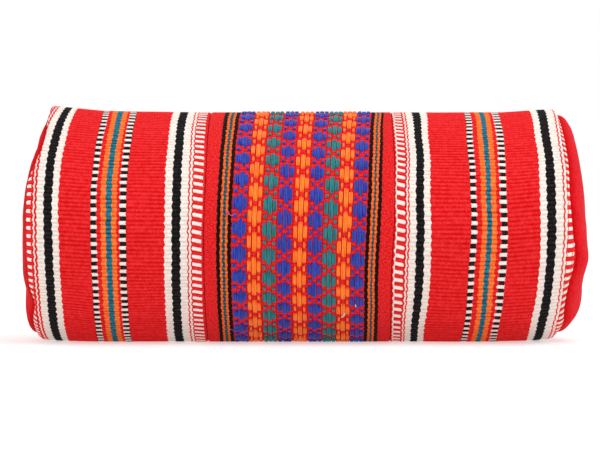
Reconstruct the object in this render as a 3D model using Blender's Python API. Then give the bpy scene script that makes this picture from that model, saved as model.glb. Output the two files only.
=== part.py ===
"""Barrel pouch of hand-woven striped cloth, closed by a coil zip just behind its crest.

Metres, +Z up. X runs along the barrel, the patterned side faces -Y, and the pouch rests on z = 0.
The outline of the barrel is followed by its length, from the zip over the crest and down the front.
"""
from math import asin, copysign, cos, pi, radians, sin

import bmesh
import bpy
import numpy as np
from mathutils import Matrix, Vector

# The barrel, between its two end seams
BARREL_LENGTH = 0.237
HALF_DEPTH = 0.060          # axis to the front, and to the back
CREST_RISE = 0.0519         # axis to the crest
BASE_DROP = 0.0550          # axis to where the base would hang if nothing flattened it
FLATTENING = 0.0020         # how much of that drop the surface that it rests on takes up
UPPER_SHOULDER = 0.0528     # axis to the outline half way between front and crest
LOWER_SHOULDER = 0.0548     # axis to the outline half way between front and base
CREST_LEAN = 0.0024         # how far the slumped crest leans towards +X
LEAN_POWER = 1.5            # how late that lean sets in over the axis
END_LIFT = 0.0016           # how far the rims ride up where the middle sags
LIFT_RUN = 0.0270           # length at each end over which the sag runs out
BASE_RISE = 0.0030          # how far the rims' lowest part rises besides
SEAM_DRAW = 0.0046          # how far each end seam is drawn in at the crest
DRAW_POWER = 1.3            # how late that sets in over the axis
LEFT_BULGE = 0.0050         # how far each round end stands out of its seam
RIGHT_BULGE = 0.0098
BULGE_SAG = 0.0180          # how far under the axis a bulge's middle hangs
BULGE_FLATNESS = 2.8        # powers that shape a bulge: how flat its middle is,
BULGE_FALL = 0.57           # and how steeply it falls to its seam

# The cloth
WALL = 0.0020
BAND_WIDTH = 0.0825
PICK = 0.0019               # one weft pick, which is one fine rib of the cloth
RIDGE_PICKS = 2             # picks in each ridge of the striped panels
RIDGE_DEPTH = 0.0005
RIM_ROUND = 0.0026          # how deep the cloth turns in at the end seams
RIM_THICKNESS = 0.0012      # of the turned edge that meets the round end
RIM_RUN = 0.0035            # length over which the turned edge thins to the wall
SEAM_ROUND = 0.0009         # how deep it turns in at the seams beside the band
GAP = 0.0003                # between pieces that touch

# The band's pattern: upright columns of long floats, each column half a repeat after its neighbour
COLUMN_WIDTH = 0.0066
COLUMN_COLOURS = ("blue", "orange", "teal", "blue", "orange", "blue", "teal", "orange", "blue")
REPEAT_PICKS = 6
ROWS_PER_REPEAT = 4
FLOAT_RISE = 0.0009         # of a float's middle over the ground weave
FLOAT_SHOULDER = 0.0006     # the same at a float's ends
COLUMN_EDGE_RISE = 0.0002   # the same where two columns meet

# Stripes of the two panels, from the seam beside the band outwards
STRIPES = (
    ("pink", 0.0045), ("red", 0.0008), ("white", 0.0008), ("red", 0.0006),
    ("white", 0.0030), ("black", 0.0035), ("white", 0.0032), ("red", 0.0165),
    ("grey", 0.0027), ("red", 0.0018), ("orange", 0.0022), ("teal", 0.0025), ("orange", 0.0022),
    ("red", 0.0017), ("grey", 0.0027), ("red", 0.0140),
    ("white", 0.0030), ("black", 0.0034), ("white", 0.0032), ("red", 0.0007), ("white", 0.0009),
    ("red", 0.0006), ("pink", 0.0035),
)
# Stripes of the band's margin, from its seam inwards, twice mirrored
MARGIN_STRIPES = (("red", 0.0058), ("black", 0.0013), ("orange", 0.0012), ("teal", 0.0012),
                  ("orange", 0.0010), ("black", 0.0013))

# The zip
ZIP_BACK = 0.0200           # how far behind the crest its line lies
SLOT = 0.0140               # between the folded edges of the cloths
TAPE_WIDTH = 0.0150
TAPE_THICKNESS = 0.0005
COIL_WIDTH = 0.0026
COIL_HEIGHT = 0.0018
COIL_BEVEL = 0.00045
POST_THICKNESS = 0.0004     # the slider's web between the two coils
STOP_LENGTH = 0.0024
SLIDER_LENGTH = 0.0110
SLIDER_PLATE = 0.0010
SLIDER_WEB_LENGTH = 0.0030
FLANGE_THICKNESS = 0.0010
FLANGE_CLEARANCE = 0.0006   # under the flanges, over the tape
BRIDGE_LENGTH = 0.0044
BRIDGE_WIDTH = 0.0016
BRIDGE_THICKNESS = 0.0008
BRIDGE_BACK = 0.0015        # how far the bridge stands from the slider's middle
PULL_LENGTH = 0.0220
PULL_WIDTH = 0.0064
PULL_THICKNESS = 0.0008
EYE_BAR = 0.0010
EYE_LENGTH = 0.0034
EYE_WIDTH = 0.0030
PULL_CLEARANCE = 0.0006     # over the slider's plate

# The lining
LINING_THICKNESS = 0.0005
LINING_SLOT = 0.0180        # between its edges along the zip
LINING_BULGE_SHARE = 0.8    # of the outer end's bulge

INNER_STEPS = 36            # facets of the smooth inner faces
LINING_STEPS = 20           # facets of the lining's tube
ZIP_STEPS = 4               # facets across a tape or a cover
RIM_STEPS = 1               # facets over the turned edges at the end seams
END_STEPS = 28              # facets round the ends
END_RINGS = (1.0, 0.90, 0.60)
LINING_END_RINGS = (1.0, 0.70)
SECTION_STEPS = 1440
SHARP_ANGLE = radians(35)   # edges steeper than this are shaded as edges

COLOURS = {
    "red": (0.72, 0.012, 0.020), "white": (0.92, 0.86, 0.78), "black": (0.020, 0.016, 0.020),
    "orange": (0.94, 0.17, 0.022), "teal": (0.012, 0.22, 0.24), "blue": (0.030, 0.045, 0.33),
    "pink": (0.80, 0.30, 0.29), "grey": (0.33, 0.30, 0.28), "end_red": (0.62, 0.018, 0.035),
    "lining": (0.60, 0.54, 0.46), "tape": (0.50, 0.012, 0.018), "coil": (0.42, 0.012, 0.016),
    "metal": (0.62, 0.57, 0.48),
}

# Places that follow from the sizes
FLOOR_DROP = BASE_DROP - FLATTENING
HALF_LENGTH = BARREL_LENGTH / 2
BARREL_SHIFT = (LEFT_BULGE - RIGHT_BULGE) / 2
PANEL_WIDTH = (BARREL_LENGTH - BAND_WIDTH) / 2 - GAP / 2
TAPE_DEPTH = WALL + GAP
COIL_FLOOR = TAPE_DEPTH - GAP
COIL_TOP = COIL_FLOOR - COIL_HEIGHT
LINING_DEPTH = TAPE_DEPTH + TAPE_THICKNESS + GAP
LINING_RUN = RIM_RUN + 2 * GAP
ZIP_HALF = HALF_LENGTH - LIFT_RUN - GAP
SLIT = POST_THICKNESS + 2 * GAP
COIL_EDGE = SLIT / 2 + COIL_WIDTH
COIL_HALF = ZIP_HALF - STOP_LENGTH - GAP
SLIDER_X = COIL_HALF - SLIDER_LENGTH / 2
SLIDER_HALF_WIDTH = COIL_EDGE + GAP + FLANGE_THICKNESS
PLATE_FLOOR = GAP - COIL_TOP
PLATE_TOP = PLATE_FLOOR + SLIDER_PLATE
PULL_PIVOT = PLATE_TOP + PULL_CLEARANCE + PULL_THICKNESS / 2
# The open slider's pull reaches past the run where the barrel is straight, and passes over its rise
TIP_OVERHANG = COIL_HALF - SLIDER_LENGTH / 2 + BRIDGE_BACK + PULL_LENGTH - (HALF_LENGTH - LIFT_RUN)
PULL_TIP = END_LIFT * max(0.0, TIP_OVERHANG / (LIFT_RUN - SEAM_DRAW)) + GAP + PULL_THICKNESS / 2
PULL_TILT = asin((PULL_PIVOT - PULL_TIP) / (PULL_LENGTH - EYE_BAR))


def outline_radius(angle):
    """Distance of the barrel's outline from its axis, at angles from the back, over the crest."""
    upper = np.sin(angle) >= 0
    rise = np.where(upper, CREST_RISE, BASE_DROP)
    shoulder = np.where(upper, UPPER_SHOULDER, LOWER_SHOULDER)
    middle = (HALF_DEPTH + rise) / 2
    wide = (HALF_DEPTH - rise) / 2
    return (middle + shoulder) / 2 + wide * np.cos(2 * angle) + (middle - shoulder) / 2 * np.cos(4 * angle)


def zip_angle():
    """Angle from the back at which the outline lies ZIP_BACK behind the crest."""
    angle = np.linspace(pi / 2, pi / 4, SECTION_STEPS)
    return np.interp(ZIP_BACK, outline_radius(angle) * np.cos(angle), angle)


def measured_outline():
    """The outline's length, points and outward normals, once round from the zip."""
    angle = zip_angle() + np.linspace(0, 2 * pi, SECTION_STEPS + 1)
    radius = outline_radius(angle)
    y, z = radius * np.cos(angle), radius * np.sin(angle)
    length = np.concatenate(([0.0], np.cumsum(np.hypot(np.diff(y), np.diff(z)))))
    dy, dz = np.gradient(y), np.gradient(z)
    size = np.hypot(dy, dz)
    return length, y, z, dz / size, -dy / size


OUTLINE = measured_outline()
GIRTH = OUTLINE[0][-1]


def nearness(x):
    """How near a place along the barrel is to an end seam, from 0 where the sag runs out to 1."""
    return max(0.0, 1 - (HALF_LENGTH - abs(x)) / LIFT_RUN)


def lean(rise):
    """How far the barrel leans towards +X at a height over its axis."""
    return CREST_LEAN * (max(0.0, rise) / CREST_RISE) ** LEAN_POWER


def on_barrel(x, along, depth):
    """A point of the cloth: along the barrel, along its outline, and below its outer face."""
    length = OUTLINE[0]
    y, z, out_y, out_z = (np.interp(along % GIRTH, length, row) for row in OUTLINE[1:])
    near = nearness(x)
    if z < 0:
        z *= 1 - near * BASE_RISE / BASE_DROP
    drawn_in = near * SEAM_DRAW * (max(0.0, z) / CREST_RISE) ** DRAW_POWER
    height = FLOOR_DROP + near * END_LIFT + z - depth * out_z
    place = x - copysign(drawn_in, x) + lean(z) + BARREL_SHIFT
    return Vector((place, y - depth * out_y, max(height, depth, 0.0)))


def zip_frame(x):
    """Axes on the zip line: along it, backwards across it, and out of the cloth."""
    out = (on_barrel(x, 0, 0) - on_barrel(x, 0, WALL)).normalized()
    along = Vector((1, 0, 0))
    frame = Matrix((along, out.cross(along), out)).transposed().to_4x4()
    frame.translation = on_barrel(x, 0, 0)
    return frame


def steps(start, end, count):
    """Evenly spaced values, both ends included."""
    return [start + (end - start) * i / count for i in range(count + 1)]


def colour_material(name, colour, roughness=0.9, metallic=0.0):
    """A plain Principled material."""
    material = bpy.data.materials.get(name) or bpy.data.materials.new(name)
    material.use_nodes = True
    shader = material.node_tree.nodes["Principled BSDF"]
    shader.inputs["Base Color"].default_value = (*colour, 1)
    shader.inputs["Roughness"].default_value = roughness
    shader.inputs["Metallic"].default_value = metallic
    return material


def striped_material(name, stripes, start, end):
    """Stripes of colour across X, from one place along the barrel to another."""
    material = colour_material(name, COLOURS["red"])
    nodes, links = material.node_tree.nodes, material.node_tree.links
    place = nodes.new("ShaderNodeTexCoord")
    split = nodes.new("ShaderNodeSeparateXYZ")
    share = nodes.new("ShaderNodeMapRange")
    share.inputs["From Min"].default_value = start + BARREL_SHIFT
    share.inputs["From Max"].default_value = end + BARREL_SHIFT
    ramp = nodes.new("ShaderNodeValToRGB").color_ramp
    ramp.interpolation = "CONSTANT"
    total = sum(width for _, width in stripes)
    edge = 0.0
    for index, (colour, width) in enumerate(stripes):
        stop = ramp.elements[0] if index == 0 else ramp.elements.new(edge / total)
        stop.color = (*COLOURS[colour], 1)
        edge += width
    ramp.elements.remove(ramp.elements[-1])
    ramp_node = nodes["Color Ramp"]
    links.new(place.outputs["Object"], split.inputs[0])
    links.new(split.outputs["X"], share.inputs["Value"])
    links.new(share.outputs["Result"], ramp_node.inputs["Fac"])
    links.new(ramp_node.outputs["Color"], nodes["Principled BSDF"].inputs["Base Color"])
    return material


def add_object(name, mesh, collection, *materials):
    """Puts a mesh in the scene under its piece's name."""
    obj = bpy.data.objects.new(name, mesh)
    collection.objects.link(obj)
    for material in materials:
        mesh.materials.append(material)
    return obj


def closed_mesh(name, bm):
    """Ends a hand-built mesh with its faces pointing out."""
    bmesh.ops.recalc_face_normals(bm, faces=bm.faces)
    mesh = bpy.data.meshes.new(name)
    bm.to_mesh(mesh)
    bm.free()
    mesh.shade_smooth()
    mesh.set_sharp_from_angle(angle=SHARP_ANGLE)
    return mesh


def stitch(bm, fine, coarse):
    """Fills between two rows of unlike counts with triangles."""
    done = 0
    last = len(fine) - 1
    for i in range(last):
        bm.faces.new((fine[i], fine[i + 1], coarse[done]))
        due = round((i + 1) * (len(coarse) - 1) / last)
        if due > done:
            bm.faces.new((fine[i + 1], coarse[due], coarse[done]))
            done = due


def cloth_wall(name, outer, inner, paint=None):
    """One closed wall from the rows of points of its outer and inner faces."""
    bm = bmesh.new()
    grids = [[[bm.verts.new(point) for point in row] for row in face] for face in (outer, inner)]
    for grid in grids:
        for r, (row, following) in enumerate(zip(grid, grid[1:])):
            for i in range(len(row) - 1):
                face = bm.faces.new((row[i], following[i], following[i + 1], row[i + 1]))
                if paint and grid is grids[0]:
                    face.material_index = paint(r, i)
    fine, coarse = grids
    for end in (0, -1):
        stitch(bm, fine[end], coarse[end])
        stitch(bm, [row[end] for row in fine], [row[end] for row in coarse])
    return closed_mesh(name, bm)


def round_edge(depth, count):
    """A quarter round that turns cloth in at an edge: distances from the edge, and depths there."""
    angles = steps(pi / 2, 0, count)
    return [(depth * (1 - sin(a)), depth * (1 - cos(a))) for a in angles]


def panel_rows(side, slot_half, ridges):
    """Outer and inner rows of cloth between an end seam and the place where the sag has run out."""
    start, end = slot_half, GIRTH - slot_half
    fine = steps(start, end, 2 * ridges)
    coarse = steps(start, end, INNER_STEPS)

    def outer_row(from_end, depth):
        return [on_barrel(side * (HALF_LENGTH - from_end), along, depth + RIDGE_DEPTH * (i % 2))
                for i, along in enumerate(fine)]

    def inner_row(from_end, depth):
        return [on_barrel(side * (HALF_LENGTH - from_end), along, depth) for along in coarse]

    return outer_row, inner_row


def striped_panel(name, side, collection):
    """One striped cloth: ribbed outside, turned in at the end seam and at the band's seam."""
    ridges = round((GIRTH - SLOT) / (PICK * RIDGE_PICKS))
    outer_row, inner_row = panel_rows(side, SLOT / 2, ridges)
    seam = round_edge(SEAM_ROUND, 1)
    outer = [outer_row(*place) for place in round_edge(RIM_ROUND, RIM_STEPS)]
    outer.append(outer_row(LIFT_RUN, 0))
    outer += [outer_row(PANEL_WIDTH - from_seam, depth) for from_seam, depth in reversed(seam)]
    inner = [inner_row(0, RIM_ROUND + RIM_THICKNESS), inner_row(RIM_RUN, WALL),
             inner_row(LIFT_RUN, WALL), inner_row(PANEL_WIDTH, WALL)]
    band_side, end_side = side * (HALF_LENGTH - PANEL_WIDTH), side * HALF_LENGTH
    material = striped_material(name, STRIPES, band_side, end_side)
    return add_object(name, cloth_wall(name, outer, inner), collection, material)


def column_depth(line, row):
    """Depth of the band's face on a line of its pattern, where even lines part the columns."""
    if line % 2 == 0:
        return -COLUMN_EDGE_RISE
    column = line // 2
    in_repeat = (row + (ROWS_PER_REPEAT // 2) * (column % 2)) % ROWS_PER_REPEAT
    return (-FLOAT_RISE, -FLOAT_SHOULDER, 0.0, -FLOAT_SHOULDER)[in_repeat]


def centre_band(collection):
    """The patterned band, whose floats stand out as pads that alternate from column to column."""
    name = "centre_band"
    columns = len(COLUMN_COLOURS)
    half = BAND_WIDTH / 2 - GAP / 2
    rows = round((GIRTH - SLOT) / (PICK * REPEAT_PICKS / ROWS_PER_REPEAT))
    fine = steps(SLOT / 2, GIRTH - SLOT / 2, rows)
    coarse = steps(SLOT / 2, GIRTH - SLOT / 2, INNER_STEPS)
    lines = [COLUMN_WIDTH * (line - columns) / 2 for line in range(2 * columns + 1)]
    left = [(-half + from_seam, depth) for from_seam, depth in round_edge(SEAM_ROUND, 1)]
    outer = [[on_barrel(x, along, depth) for along in fine] for x, depth in left]
    outer += [[on_barrel(x, along, column_depth(line, row)) for row, along in enumerate(fine)]
              for line, x in enumerate(lines)]
    outer += [[on_barrel(-x, along, depth) for along in fine] for x, depth in reversed(left)]
    inner = [[on_barrel(x, along, WALL) for along in coarse] for x in (-half, half)]

    palette = ("red", "blue", "orange", "teal")
    ground, left_margin, right_margin = 0, len(palette), len(palette) + 1
    left_strip = len(left) - 1
    right_strip = left_strip + 2 * columns + 1

    def paint(strip, row):
        if strip == left_strip:
            return left_margin
        if strip == right_strip:
            return right_margin
        if not left_strip < strip < right_strip:
            return ground
        column = (strip - left_strip - 1) // 2
        in_repeat = (row + (ROWS_PER_REPEAT // 2) * (column % 2)) % ROWS_PER_REPEAT
        coloured = in_repeat in (0, ROWS_PER_REPEAT - 1)
        return palette.index(COLUMN_COLOURS[column]) if coloured else ground

    materials = [colour_material("woven_" + colour, COLOURS[colour]) for colour in palette]
    edge = lines[-1]
    materials.append(striped_material("margin_left", MARGIN_STRIPES, -half, -edge))
    materials.append(striped_material("margin_right", MARGIN_STRIPES, half, edge))
    return add_object(name, cloth_wall(name, outer, inner, paint), collection, *materials)


def round_end(name, seam, bulge, rim_x, rim_depth, thickness, shares, collection, material):
    """A round end: a domed sheet whose rim follows the barrel's outline at its seam."""
    side = copysign(1, seam)
    alongs = steps(0, GIRTH, END_STEPS)[:-1]
    rim = [on_barrel(seam, along, rim_depth) for along in alongs]
    middle = sum(rim, Vector()) / len(rim) - Vector((0, 0, BULGE_SAG))
    middle.x = seam + BARREL_SHIFT
    bm = bmesh.new()

    def ring_point(point, share):
        place = middle.lerp(point, share)
        place.x += side * (rim_x + (bulge - rim_x) * (1 - share ** BULGE_FLATNESS) ** BULGE_FALL)
        return place

    rings = [[bm.verts.new(ring_point(point, share)) for point in rim] for share in shares]
    tip = bm.verts.new(ring_point(middle, 0))
    for ring, following in zip(rings, rings[1:]):
        for i in range(END_STEPS):
            after = (i + 1) % END_STEPS
            bm.faces.new((ring[i], following[i], following[after], ring[after]))
    for i in range(END_STEPS):
        bm.faces.new((rings[-1][i], tip, rings[-1][(i + 1) % END_STEPS]))
    extruded = bmesh.ops.extrude_face_region(bm, geom=bm.faces[:])
    verts = [item for item in extruded["geom"] if isinstance(item, bmesh.types.BMVert)]
    bmesh.ops.translate(bm, verts=verts, vec=Vector((-side * thickness, 0, 0)))
    return add_object(name, closed_mesh(name, bm), collection, material)


def sheet_between(name, start, end, xs, depth, thickness, count, collection, material):
    """A thin sheet that follows the barrel, between two places along its outline."""
    alongs = steps(start, end, count)
    faces = [[[on_barrel(x, along, level) for along in alongs] for x in xs]
             for level in (depth, depth + thickness)]
    return add_object(name, cloth_wall(name, *faces), collection, material)


def zip_end_cover(name, side, collection, material):
    """The patch of cloth that closes the slot between the zip's last tooth and the end seam."""
    half = SLOT / 2 - GAP
    alongs = steps(-half, half, ZIP_STEPS)
    outer_places = [*round_edge(RIM_ROUND, RIM_STEPS), (LIFT_RUN, 0)]
    inner_places = [(0, RIM_ROUND + RIM_THICKNESS), (RIM_RUN, WALL), (LIFT_RUN, WALL)]
    faces = [[[on_barrel(side * (HALF_LENGTH - from_end), along, depth) for along in alongs]
              for from_end, depth in places] for places in (outer_places, inner_places)]
    return add_object(name, cloth_wall(name, *faces), collection, material)


def block(name, low, high, frame, bevel=0.0):
    """A box between two corners in a frame, with its edges rounded if a bevel is given."""
    bm = bmesh.new()
    bmesh.ops.create_cube(bm, size=1)
    size = Vector(high) - Vector(low)
    bmesh.ops.scale(bm, vec=size, verts=bm.verts)
    bmesh.ops.translate(bm, vec=(Vector(high) + Vector(low)) / 2, verts=bm.verts)
    if bevel:
        bmesh.ops.bevel(bm, geom=bm.edges[:], offset=bevel, segments=1, affect="EDGES")
    bm.transform(frame)
    return closed_mesh(name, bm)


def united(name, meshes):
    """Joins overlapping meshes into one body."""
    base = bpy.data.objects.new(name, meshes[0])
    bpy.context.scene.collection.objects.link(base)
    tools = []
    for mesh in meshes[1:]:
        tool = bpy.data.objects.new(name + "_tool", mesh)
        bpy.context.scene.collection.objects.link(tool)
        union = base.modifiers.new("union", "BOOLEAN")
        union.operation = "UNION"
        union.object = tool
        tools.append(tool)
    evaluated = base.evaluated_get(bpy.context.evaluated_depsgraph_get())
    mesh = bpy.data.meshes.new_from_object(evaluated)
    for obj in (base, *tools):
        bpy.data.objects.remove(obj)
    mesh.name = name
    return mesh


def slider_mesh():
    """The slider about its bridge's pivot: two plates and a web, side flanges and a bridge."""
    low, high = BRIDGE_BACK - SLIDER_LENGTH / 2, BRIDGE_BACK + SLIDER_LENGTH / 2
    wide, web = SLIDER_HALF_WIDTH, POST_THICKNESS / 2
    tape_floor = -(TAPE_DEPTH + TAPE_THICKNESS + GAP)
    bite = SLIDER_PLATE / 2
    inset = GAP / 2
    flange_floor = FLANGE_CLEARANCE - TAPE_DEPTH
    boxes = [
        ((low, -wide, PLATE_FLOOR), (high, wide, PLATE_TOP)),
        ((low, -wide, tape_floor - SLIDER_PLATE), (high, wide, tape_floor)),
        ((high - SLIDER_WEB_LENGTH, -web, tape_floor - bite), (high - inset, web, PLATE_FLOOR + bite)),
    ]
    for near, far in ((-wide + inset, FLANGE_THICKNESS - wide), (wide - FLANGE_THICKNESS, wide - inset)):
        boxes.append(((low + inset, near, flange_floor), (high - inset, far, PLATE_FLOOR + bite)))

    reach, half_bridge, leg = BRIDGE_LENGTH / 2, BRIDGE_WIDTH / 2, BRIDGE_THICKNESS
    arch_floor = PULL_PIVOT + PULL_THICKNESS / 2 + GAP
    for start in (-reach, reach - leg):
        boxes.append(((start, inset - half_bridge, PLATE_TOP - bite),
                      (start + leg, half_bridge - inset, arch_floor + leg / 2)))
    boxes.append(((-reach - inset, -half_bridge, arch_floor),
                  (reach + inset, half_bridge, arch_floor + leg)))
    about_pivot = Matrix.Translation((0, 0, -PULL_PIVOT))
    return united("zip_slider", [block("box", *corners, about_pivot) for corners in boxes])


def pull_mesh():
    """The pull about its pivot, a flat tab with an eye, pointing to -X."""
    bar, wide = EYE_BAR / 2, PULL_WIDTH / 2
    tip = bar - PULL_LENGTH
    chamfer = wide / 2
    tab = [(bar, -wide + bar), (bar, wide - bar), (0, wide), (tip + chamfer, wide), (tip, wide - chamfer),
           (tip, chamfer - wide), (tip + chamfer, -wide), (0, -wide)]
    eye = [(-bar, -EYE_WIDTH / 2), (-bar, EYE_WIDTH / 2), (-bar - EYE_LENGTH, EYE_WIDTH / 2),
           (-bar - EYE_LENGTH, -EYE_WIDTH / 2)]
    curve = bpy.data.curves.new("zip_pull", "CURVE")
    curve.dimensions = "2D"
    curve.fill_mode = "BOTH"
    curve.extrude = PULL_THICKNESS / 2
    for points in (tab, eye):
        spline = curve.splines.new("POLY")
        spline.points.add(len(points) - 1)
        spline.use_cyclic_u = True
        for place, point in zip(spline.points, points):
            place.co = (*point, 0, 1)
    flat = bpy.data.objects.new("zip_pull_outline", curve)
    bpy.context.scene.collection.objects.link(flat)
    evaluated = flat.evaluated_get(bpy.context.evaluated_depsgraph_get())
    mesh = bpy.data.meshes.new_from_object(evaluated)
    bpy.data.objects.remove(flat)
    bm = bmesh.new()
    bm.from_mesh(mesh)
    bmesh.ops.remove_doubles(bm, verts=bm.verts, dist=0.00001)
    bm.transform(Matrix.Rotation(-PULL_TILT, 4, "Y"))
    bmesh.ops.recalc_face_normals(bm, faces=bm.faces)
    bm.to_mesh(mesh)
    bm.free()
    return mesh


def zip_pieces(collection):
    """Tapes, coils and stops in the cloth, and the slider and pull on them."""
    tape = colour_material("tape", COLOURS["tape"])
    coil = colour_material("coil", COLOURS["coil"], roughness=0.4)
    metal = colour_material("zip_metal", COLOURS["metal"], roughness=0.35, metallic=1.0)
    reach = HALF_LENGTH - LINING_RUN
    xs = (-reach, LIFT_RUN - HALF_LENGTH, HALF_LENGTH - LIFT_RUN, reach)
    frame = zip_frame(0)
    for name, across in (("front", -1), ("back", 1)):
        edges = sorted((-across * SLIT / 2, -across * TAPE_WIDTH))
        sheet_between("zip_tape_" + name, *edges, xs, TAPE_DEPTH, TAPE_THICKNESS, ZIP_STEPS,
                      collection, tape)
        near, far = sorted((across * SLIT / 2, across * COIL_EDGE))
        mesh = block("zip_coil_" + name, (-COIL_HALF, near, -COIL_FLOOR), (COIL_HALF, far, -COIL_TOP),
                     frame, COIL_BEVEL)
        add_object("zip_coil_" + name, mesh, collection, coil)
        mesh = block("zip_top_stop_" + name, (ZIP_HALF - STOP_LENGTH, near, -COIL_FLOOR),
                     (ZIP_HALF, far, -COIL_TOP), frame, COIL_BEVEL)
        add_object("zip_top_stop_" + name, mesh, collection, metal)
    mesh = block("zip_bottom_stop", (-ZIP_HALF, -COIL_EDGE, -COIL_FLOOR),
                 (STOP_LENGTH - ZIP_HALF, COIL_EDGE, -COIL_TOP), frame, COIL_BEVEL)
    add_object("zip_bottom_stop", mesh, collection, metal)

    pivot = zip_frame(SLIDER_X - BRIDGE_BACK) @ Matrix.Translation((0, 0, PULL_PIVOT))
    slider = add_object("zip_slider", slider_mesh(), collection, metal)
    slider.matrix_world = pivot
    pull = add_object("zip_pull", pull_mesh(), collection, metal)
    pull.parent = slider


def lining(collection):
    """The thin inner bag: a tube with two round ends."""
    cotton = colour_material("lining", COLOURS["lining"])
    reach = HALF_LENGTH - LINING_RUN
    xs = (-reach, LIFT_RUN - HALF_LENGTH, HALF_LENGTH - LIFT_RUN, reach)
    half = LINING_SLOT / 2
    sheet_between("lining_tube", half, GIRTH - half, xs, LINING_DEPTH, LINING_THICKNESS,
                  LINING_STEPS, collection, cotton)
    inset = RIM_ROUND + RIM_THICKNESS + GAP
    rim_x = LINING_THICKNESS + GAP
    for name, side, bulge in (("left", -1, LEFT_BULGE), ("right", 1, RIGHT_BULGE)):
        tip = rim_x + LINING_BULGE_SHARE * (bulge - WALL)
        round_end("lining_end_" + name, side * reach, tip, rim_x, inset, LINING_THICKNESS,
                  LINING_END_RINGS, collection, cotton)


def clear_scene():
    """Removes what the scene holds."""
    for obj in list(bpy.data.objects):
        bpy.data.objects.remove(obj)


def build():
    """Makes every piece of the pouch."""
    clear_scene()
    collection = bpy.data.collections.new("woven_pouch")
    bpy.context.scene.collection.children.link(collection)
    striped_panel("left_panel", -1, collection)
    centre_band(collection)
    striped_panel("right_panel", 1, collection)
    twill = colour_material("red_twill", COLOURS["end_red"])
    rim_x = WALL + GAP
    for name, side, bulge in (("left", -1, LEFT_BULGE), ("right", 1, RIGHT_BULGE)):
        round_end(name + "_end", side * HALF_LENGTH, bulge, rim_x, RIM_ROUND, WALL, END_RINGS,
                  collection, twill)
        zip_end_cover("zip_cover_" + name, side, collection, twill)
    zip_pieces(collection)
    lining(collection)


build()
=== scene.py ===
"""Looks of the woven zip pouch: ribbed striped cloths, a patterned band, twill ends and a coil zip.

Metres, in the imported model's frame. The cloths are laid out by their place along the barrel and by
their length round its outline, from the zip line over the crest and down the front.
"""
from math import pi, radians

import bpy
import numpy as np
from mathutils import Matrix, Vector


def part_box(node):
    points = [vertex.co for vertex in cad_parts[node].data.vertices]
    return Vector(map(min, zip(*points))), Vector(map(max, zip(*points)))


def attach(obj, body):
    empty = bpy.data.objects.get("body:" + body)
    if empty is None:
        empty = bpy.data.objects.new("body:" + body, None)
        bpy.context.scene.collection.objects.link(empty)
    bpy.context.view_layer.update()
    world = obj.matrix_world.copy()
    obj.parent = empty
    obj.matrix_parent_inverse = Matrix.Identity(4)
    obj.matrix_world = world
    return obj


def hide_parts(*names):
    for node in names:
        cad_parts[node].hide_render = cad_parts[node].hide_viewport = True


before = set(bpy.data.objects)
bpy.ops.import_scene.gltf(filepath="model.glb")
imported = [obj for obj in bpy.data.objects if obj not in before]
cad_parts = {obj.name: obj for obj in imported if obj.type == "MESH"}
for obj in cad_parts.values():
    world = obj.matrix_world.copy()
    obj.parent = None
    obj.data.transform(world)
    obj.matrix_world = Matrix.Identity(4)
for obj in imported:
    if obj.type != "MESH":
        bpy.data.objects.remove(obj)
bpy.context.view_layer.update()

# The barrel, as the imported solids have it
HALF_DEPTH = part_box("right_panel")[1][1]
CREST_RISE = 0.0519         # axis to the crest
BASE_DROP = 0.0550          # axis to where the base would hang if nothing flattened it
FLOOR_DROP = 0.0530         # axis to the floor
UPPER_SHOULDER = 0.0528     # axis to the outline half way between front and crest
LOWER_SHOULDER = 0.0548     # axis to the outline half way between front and base
CREST_LEAN = 0.0009         # how far the slumped crest leans towards +X
BASE_LEAN = 0.0011          # how far the base leans the other way, away from the band
BAND_CREST_LEAN = 0.0024    # how much further the band leans at the crest
BAND_SPREAD = 0.3           # how much more of that at the band's right, and less at its left
BAND_EASE = 0.0075          # width of the band's margins, which give way between
BAND_LEAN = 0.035           # slope of the band and its seams against the panels, at the front
BAND_LEAN_REACH = 0.035     # length of cloth from the front within which that slope shows
BAND_LEAN_SKEW = 0.8        # how much more of it at the band's right below the front, and less at its left
BAND_LEAN_FADE = 0.016      # width of each panel beside the band that leans with it
END_LIFT = 0.0016           # how far the rims ride up where the middle sags
BASE_RISE = 0.0012          # how far the rims' lowest part rises besides
LIFT_RUN = 0.0270           # length of barrel over which the rims rise and are drawn in
SEAM_DRAW = 0.0018          # how far each end seam is drawn in at the crest
LEFT_CREST_LIFT = 0.0016    # how far the left end rides up at the crest besides
LEFT_LIFT_RUN = 0.0600      # length of barrel over which it does
CREST_LIFT_EASE = 0.0100    # length of cloth over which that runs out beside the zip
BULGE_SAG = 0.0180          # how far under the axis the middle of a round end hangs
BULGE_FLATNESS = 2.7        # how flat the middle of a round end is
# How steeply the left and right end fall to their seams, the less the steeper: in general, and at
# some places below the front, with their reach. And how far their soft middles stand out besides
EASY_FALLS = (1.0, 0.42)
STEEP_FALLS = (
    ((-0.0420, 0.0220, 0.28), (0.0870, 0.0640, 0.33)),
    ((-0.0866, 0.0450, 0.35),),
)
END_SWELLS = (0.0010, 0.0012)
FOLD_SHADE_RISE = 0.0016    # how far out of its seam a round end is painted darker, as shade in a fold
FOLD_SHADE = 1.2            # and how dark that painted shade is
END_RINGS, END_SPOKES = 46, 240
END_GATHER = 1.6            # how much closer a round end's rings lie near its rim
END_CENTRE = 0.004          # its innermost ring, as a share of the rim
END_SINK, END_TUCK = 0.0002, 0.0012         # how far it starts below the rim's rounding, and runs in
END_DENT = (0.0004, 0.05)   # depth and reach of the soft dents in a round end
PUCKERS = ((37, 0.3), (52, 1.9), (23, 4.0))     # waves round an end's seam: how many, and their phase
PUCKER_DEPTH = 0.00045
LEFT_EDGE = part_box("left_panel")[0][0]
RIGHT_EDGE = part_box("right_panel")[1][0]
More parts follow.
